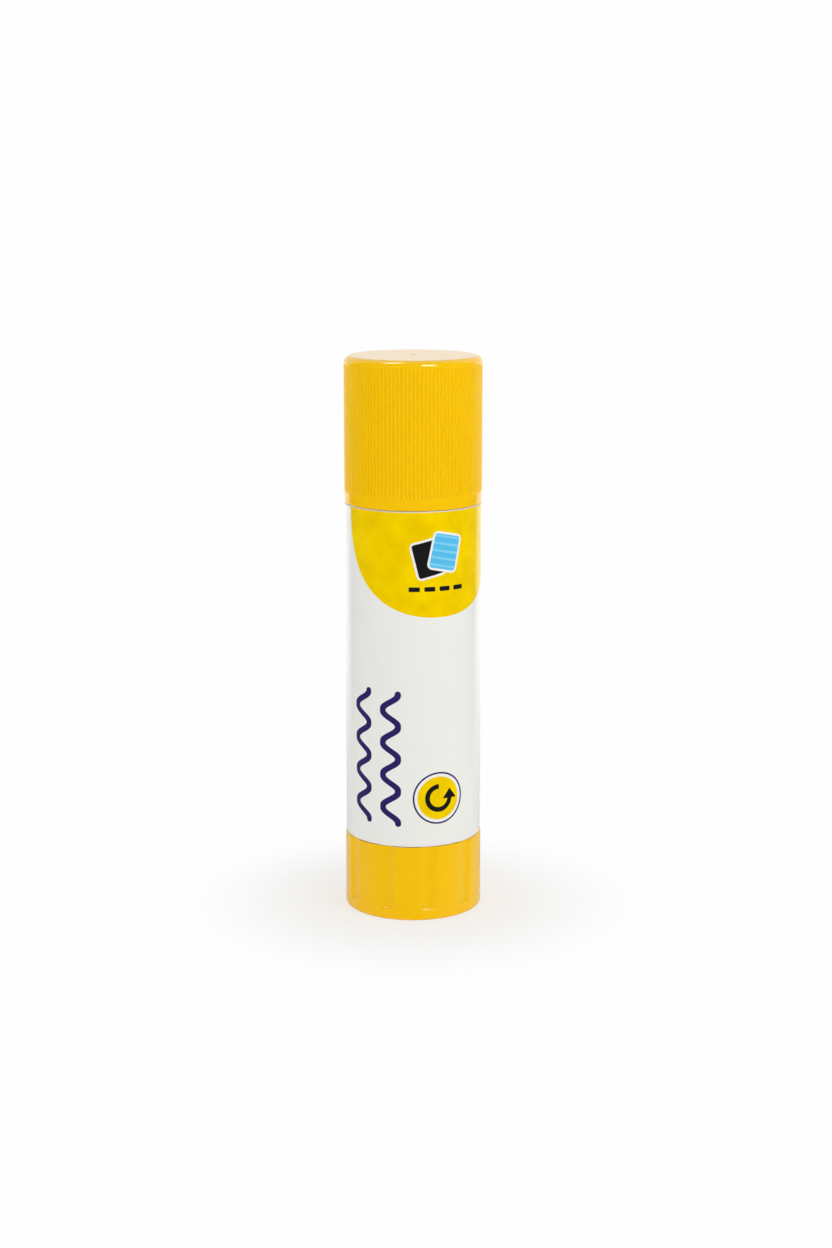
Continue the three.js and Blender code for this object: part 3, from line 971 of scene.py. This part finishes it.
def inked(distance):
    """How much of the surface a shape covers, from 0 outside to 1 inside."""
    return (distance * (-1 / INK_EDGE)).math("ADD", 0.5, clamp=True)


# %% [markdown]
# The paper-white film has a satin varnish and is never quite flat on its tube, so long soft ripples run
# through its gloss. The ink has a fine cloudiness of its own, as large areas of yellow have in print.

# %% Printed film
FIELD_CENTRE = (4.6, 74.95)
FIELD_HALF = (18.4, 18.8)
FIELD_POWER = 2.15
SHEET_CENTRE = (4.4, 67.3)
SHEET_HALF = (2.5, 3.1)
SHEET_LEANS = (14, -12)
SHEET_SHIFTS = (-1.6, 1.5)
SHEET_RISE = 0.35
SHEET_CORNER = 0.5
SHEET_OUTLINE = 0.4
OUTLINE_CORNER = 0.6
RULE_PITCH = 1.3
DASHES = 4
DASH_FIRST = (0.2, 61.3)
DASH_PITCH = 2.8
DASH_HALF = (1.0, 0.42)
DASH_CORNER = 0.2
ROUNDEL_CENTRE = (4.75, 22.9)
ROUNDEL_RADIUS = 4.84
ROUNDEL_RING = 0.32
ROUNDEL_BORDER = 0.85
ARROW_RADIUS = 2.15
ARROW_STROKE = 0.9
ARROW_HEAD = 1.7
HEAD_ACROSS = 0.8
HEAD_UP = 0.6
HEAD_FOOT = 0.2
WAVE_PLACES = ((-10.1, 30.4), (-4.2, 30.2))
WAVE_LENGTH = 24.0
WAVE_PITCH = 6.0
WAVE_SWING = 1.45
WAVE_WIDTH = 1.15

PAPER = screen(240, 239, 235)
PAPER_SHADE = screen(236, 236, 231)
YELLOW = screen(253, 216, 0)
YELLOW_SHADE = screen(237, 197, 0)
NAVY = screen(46, 36, 98)
BLACK = screen(28, 27, 30)
SKY = screen(88, 190, 236)
SKY_LIGHT = screen(128, 208, 243)


def two_sheets(tree, along, up, colour):
    """Two sheets of paper with pale outlines, the front one blue and ruled, over a black one."""
    for lean, shift, ink in zip(SHEET_LEANS, SHEET_SHIFTS, (BLACK, None)):
        centre = (SHEET_CENTRE[0] + shift, SHEET_CENTRE[1] + shift * SHEET_RISE)
        x, z = turned_by(along, up, centre, lean)
        outline = box(x, z, centre, SHEET_HALF, OUTLINE_CORNER) - SHEET_OUTLINE
        colour = blend(tree, inked(outline), colour, PAPER)
        if ink is None:
            rule = ((z * (2 * math.pi / RULE_PITCH)).math("SINE") * 2 - 0.6).math("MULTIPLY", 1, clamp=True)
            ink = blend(tree, rule, SKY, SKY_LIGHT)
        sheet = box(x, z, centre, SHEET_HALF, SHEET_CORNER)
        colour = blend(tree, inked(sheet), colour, ink)
    return colour


def dashed_line(along, up):
    """Four short dashes under the sheets, like a line to cut along."""
    distance = None
    for k in range(DASHES):
        dash = box(along, up, (DASH_FIRST[0] + DASH_PITCH * k, DASH_FIRST[1]), DASH_HALF, DASH_CORNER)
        distance = dash if distance is None else either(distance, dash)
    return distance


def wavy_line(along, up, centre):
    """A wavy line whose ends lie where the wave is widest and are closed by discs."""
    line = wave(along, up, centre, WAVE_SWING, WAVE_PITCH, WAVE_WIDTH)
    line = both(line, abs(up - centre[1]) - WAVE_LENGTH / 2)
    for end in (-1, 1):
        tip = (centre[0] + WAVE_SWING, centre[1] + end * WAVE_LENGTH / 2)
        line = either(line, disc(along, up, tip, WAVE_WIDTH / 2))
    return line


def turning_arrow(along, up):
    """Most of a ring with an arrow's head at its end."""
    x = along - ROUNDEL_CENTRE[0]
    z = up - ROUNDEL_CENTRE[1]
    ring = abs(length(x, z) - ARROW_RADIUS) - ARROW_STROKE / 2
    gap = both(x * -1, z * -1)
    flanks = abs(x - ARROW_RADIUS) * HEAD_ACROSS + z * HEAD_UP - ARROW_HEAD * HEAD_UP
    head = both(flanks, z * -1 - HEAD_FOOT)
    return either(both(ring, gap * -1), head)


def make_printed_film():
    material, tree, shader = new_finish(
        "printed_film", ior=1.5, subsurface_weight=0.05, subsurface_scale=0.3 * MM,
    )
    place_xyz = tree.nodes.new("ShaderNodeSeparateXYZ")
    tree.links.new(object_place(tree), place_xyz.inputs[0])
    x, y, z = (Field(tree, socket) for socket in place_xyz.outputs)
    along = x.math("ARCTAN2", y * -1) * LABEL_RADIUS
    up = z / MM
    colour = blend(tree, noise(tree, 0.12, 3), PAPER_SHADE, PAPER)
    mottle = noise(tree, 0.28, 4)
    yellow = blend(tree, (mottle * 2.4 - 0.7).math("MULTIPLY", 1, clamp=True), YELLOW_SHADE, YELLOW)
    field = swelling_field(along, up, FIELD_CENTRE, FIELD_HALF, FIELD_POWER)
    colour = blend(tree, inked(field), colour, yellow)
    colour = two_sheets(tree, along, up, colour)
    colour = blend(tree, inked(dashed_line(along, up)), colour, BLACK)
    for centre in WAVE_PLACES:
        colour = blend(tree, inked(wavy_line(along, up, centre)), colour, NAVY)
    for inset, ink in ((0, NAVY), (ROUNDEL_RING, PAPER), (ROUNDEL_BORDER, yellow)):
        colour = blend(tree, inked(disc(along, up, ROUNDEL_CENTRE, ROUNDEL_RADIUS - inset)), colour, ink)
    colour = blend(tree, inked(turning_arrow(along, up)), colour, BLACK)
    tree.links.new(colour, shader.inputs["Base Color"])
    tree.links.new(colour, shader.inputs["Specular Tint"])
    gloss = noise(tree, 0.5, 3) * 0.06 + 0.1
    tree.links.new(gloss.socket, shader.inputs["Roughness"])
    ripple = noise(tree, 0.16, 2, stretch=(1, 1, 0.35)) * 0.04
    raise_surface(tree, shader, ripple + noise(tree, 5.0) * 0.001)
    return material


# %% [markdown]
# Every piece gets its finish and the body that carries it, and the imported node that it stands for
# is hidden.

# %% Dress the pieces
FINISHES = {
    "yellow_plastic": make_yellow_plastic(),
    "white_plastic": make_white_plastic(),
    "printed_film": make_printed_film(),
    "glue_paste": make_glue_paste(),
}
print("finishes", [finish.name for finish in FINISHES.values()])


def dress(piece, slot):
    piece.data.materials.clear()
    piece.data.materials.append(FINISHES[slot])


def stand_in(piece, node, body, slot):
    dress(piece, slot)
    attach(piece, body)
    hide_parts(node)


stand_in(cap, "cap", "cap", "yellow_plastic")
stand_in(knob, "knob", "knob", "yellow_plastic")
stand_in(barrel, "barrel", "barrel", "white_plastic")
stand_in(label, "label", "barrel", "printed_film")
stand_in(spindle, "spindle", "knob", "white_plastic")
stand_in(carrier, "carrier", "carrier", "white_plastic")
stand_in(glue, "glue", "carrier", "glue_paste")

# %% [markdown]
# The room. A photographer lights white goods against a white backdrop, and leaves the room dark behind the
# camera. What shows in the stick's gloss is that room: white behind the stick and nearly dark in front of it,
# which keeps the yellow deep. The change from one to the other is a soft step in the direction that a ray
# takes. The floor and the world share that step and its edge, and each has its own levels.

# %% Soft steps and mixed shaders
BACKDROP = 0.99
ROOM_EDGE = (0.58, 0.76)
ROOM_LEVELS = (0.06, 1.2)


def stepped(tree, value, edge, levels):
    """Goes softly from one level to another while a value crosses an edge."""
    steps = tree.nodes.new("ShaderNodeMapRange")
    steps.interpolation_type = "SMOOTHSTEP"
    steps.inputs["From Min"].default_value, steps.inputs["From Max"].default_value = edge
    steps.inputs["To Min"].default_value, steps.inputs["To Max"].default_value = levels
    tree.links.new(value, steps.inputs["Value"])
    return Field(tree, steps.outputs["Result"])


def mixed(tree, share, one, other):
    """One shader where the share is 0 and the other where it is 1."""
    node = tree.nodes.new("ShaderNodeMixShader")
    tree.links.new(share, node.inputs["Fac"])
    tree.links.new(one.outputs[0], node.inputs[1])
    tree.links.new(other.outputs[0], node.inputs[2])
    return node


def emptied(data):
    """The node tree of a material or world, with nothing in it."""
    data.use_nodes = True
    data.node_tree.nodes.clear()
    return data.node_tree


print(f"the room goes from {ROOM_LEVELS[0]} in front to {ROOM_LEVELS[1]} behind")

# %% [markdown]
# The floor is a white studio table. It has to keep the soft shadow at the foot of the stick and yet be as
# white as the backdrop further out, so to the camera its shading gives way to plain white away from the
# stick. The light that it throws back stays true. In the stick's gloss the table is a painted reflection: it
# glows there, though it is no lamp, softly from dark in front, a painted shade of the stick, to half the
# room's brightness behind, and further out it is as bright as the room there.

# %% Floor
FLOOR_RADIUS = 2.5
SHADOW_REACH = (0.014, 0.046)
REFLECTED_REACH = (0.04, 0.25)
SHADOW_PLAIN = 0.6
TABLE_EDGE = (-1.2, 1.2)
# levels of the table's painted reflection, low in front as a painted shade of the stick
PAINTED_TABLE_REFLECTION_LEVELS = (0.1, 0.6)
TABLE_CENTRE = (0, 0.012, 0)
TABLE_WHITE = (0.96, 0.96, 0.96, 1)

deselect_all()
bpy.ops.mesh.primitive_circle_add(vertices=128, radius=FLOOR_RADIUS, fill_type="NGON")
floor = bpy.context.object
floor.name = "studio_floor"
white_table = bpy.data.materials.new("white_table")
tree = emptied(white_table)
table = tree.nodes.new("ShaderNodeBsdfDiffuse")
table.inputs["Color"].default_value = TABLE_WHITE
plain = tree.nodes.new("ShaderNodeEmission")
plain.inputs["Color"].default_value = (BACKDROP, BACKDROP, BACKDROP, 1)
# the table's painted reflection: an emission that only the gloss sees
mirrored = tree.nodes.new("ShaderNodeEmission")
mirrored.inputs["Color"].default_value = (1, 1, 1, 1)
distance = tree.nodes.new("ShaderNodeVectorMath")
distance.operation = "LENGTH"
tree.links.new(object_place(tree), distance.inputs[0])
shifted = tree.nodes.new("ShaderNodeVectorMath")
shifted.inputs[1].default_value = TABLE_CENTRE
tree.links.new(object_place(tree), shifted.inputs[0])
direction = tree.nodes.new("ShaderNodeVectorMath")
direction.operation = "NORMALIZE"
tree.links.new(shifted.outputs["Vector"], direction.inputs[0])
parts = tree.nodes.new("ShaderNodeSeparateXYZ")
tree.links.new(direction.outputs["Vector"], parts.inputs[0])
# painted shade in the reflection: the table glows dark in front, as if in the stick's shade
near = stepped(tree, parts.outputs["Y"], TABLE_EDGE, PAINTED_TABLE_REFLECTION_LEVELS)
away = stepped(tree, parts.outputs["Y"], ROOM_EDGE, ROOM_LEVELS)
reach = stepped(tree, distance.outputs["Value"], REFLECTED_REACH, (0, 1))
tree.links.new((near + (away - near) * reach).socket, mirrored.inputs["Strength"])
rays = tree.nodes.new("ShaderNodeLightPath")
seen = Field(tree, rays.outputs["Is Camera Ray"]) + Field(tree, rays.outputs["Is Transmission Ray"])
share = seen * stepped(tree, distance.outputs["Value"], SHADOW_REACH, (SHADOW_PLAIN, 1))
shown = mixed(tree, share.socket, table, plain)
shown = mixed(tree, rays.outputs["Is Glossy Ray"], shown, mirrored)
output = tree.nodes.new("ShaderNodeOutputMaterial")
tree.links.new(shown.outputs[0], output.inputs["Surface"])
floor.data.materials.append(white_table)
print(f"{floor.name} reaches {FLOOR_RADIUS} m from the stick")

# %% [markdown]
# The world gives the even part of the light, as a white tent would, and it is brighter low down than
# overhead, because the table lights the tent from below. To the camera it is plain white. In the stick's
# gloss it is the room: white behind and overhead, and nearly dark in front.

# %% World
TENT_EDGE = (-0.3, 0.7)
TENT_LEVELS = (2.56, 0.52)
CEILING = 0.85
SKY_LEVELS = (0.06, 1.02)

world = bpy.data.worlds.new("white_tent")
bpy.context.scene.world = world
tree = emptied(world)
backdrop, tent, mirrored = (tree.nodes.new("ShaderNodeBackground") for _ in range(3))
for light in (backdrop, tent, mirrored):
    light.inputs["Color"].default_value = (1, 1, 1, 1)
backdrop.inputs["Strength"].default_value = BACKDROP
parts = tree.nodes.new("ShaderNodeSeparateXYZ")
tree.links.new(tree.nodes.new("ShaderNodeTexCoord").outputs["Generated"], parts.inputs[0])
tree.links.new(stepped(tree, parts.outputs["Z"], TENT_EDGE, TENT_LEVELS).socket, tent.inputs["Strength"])
rearward = Field(tree, parts.outputs["Z"]).math("MAXIMUM", 0) * CEILING + Field(tree, parts.outputs["Y"])
tree.links.new(stepped(tree, rearward.socket, ROOM_EDGE, SKY_LEVELS).socket, mirrored.inputs["Strength"])
rays = tree.nodes.new("ShaderNodeLightPath")
shown = mixed(tree, rays.outputs["Is Glossy Ray"], tent, mirrored)
seen = Field(tree, rays.outputs["Is Camera Ray"]) + Field(tree, rays.outputs["Is Transmission Ray"])
shown = mixed(tree, seen.socket, shown, backdrop)
output = tree.nodes.new("ShaderNodeOutputWorld")
tree.links.new(shown.outputs[0], output.inputs["Surface"])
print(f"{world.name} goes from {TENT_LEVELS[0]} low down to {TENT_LEVELS[1]} overhead")

# %% [markdown]
# Soft boxes give the light its direction. The main one stands in front at the right and high up. It lights
# the stick but isn't mirrored in it, where so large a box would wash out the ribs. A smaller one near it and
# one overhead at the left are seen in the gloss alone. They draw the two glints on the cap's shoulder and the
# bright lines on the ledges under the flutes.

# %% Soft boxes
AIM_HEIGHT = 50


def soft_box(name, place_mm, size_mm, watts, mirrored):
    """A rectangular area light that faces the middle of the stick, and either lights it or is mirrored."""
    target = Vector((0, 0, AIM_HEIGHT * MM))
    where = Vector(place_mm) * MM
    bpy.ops.object.light_add(type="AREA", location=where)
    lamp = bpy.context.object
    lamp.name = name
    lamp.data.shape = "RECTANGLE"
    lamp.data.size = size_mm[0] * MM
    lamp.data.size_y = size_mm[1] * MM
    lamp.data.energy = watts
    lamp.visible_glossy = mirrored
    lamp.visible_diffuse = not mirrored
    lamp.rotation_euler = (target - where).to_track_quat("-Z", "Y").to_euler()
    print(f"{name} is {(target - where).length:.2f} m away")


soft_box("main_box", (400, -420, 513), (420, 420), watts=0.74, mirrored=False)
soft_box("main_glint", (273, -484, 538), (230, 230), watts=3.2, mirrored=True)
soft_box("overhead_glint", (-224, -67, 751), (210, 240), watts=2.0, mirrored=True)
bpy.context.scene.view_settings.view_transform = "Standard"
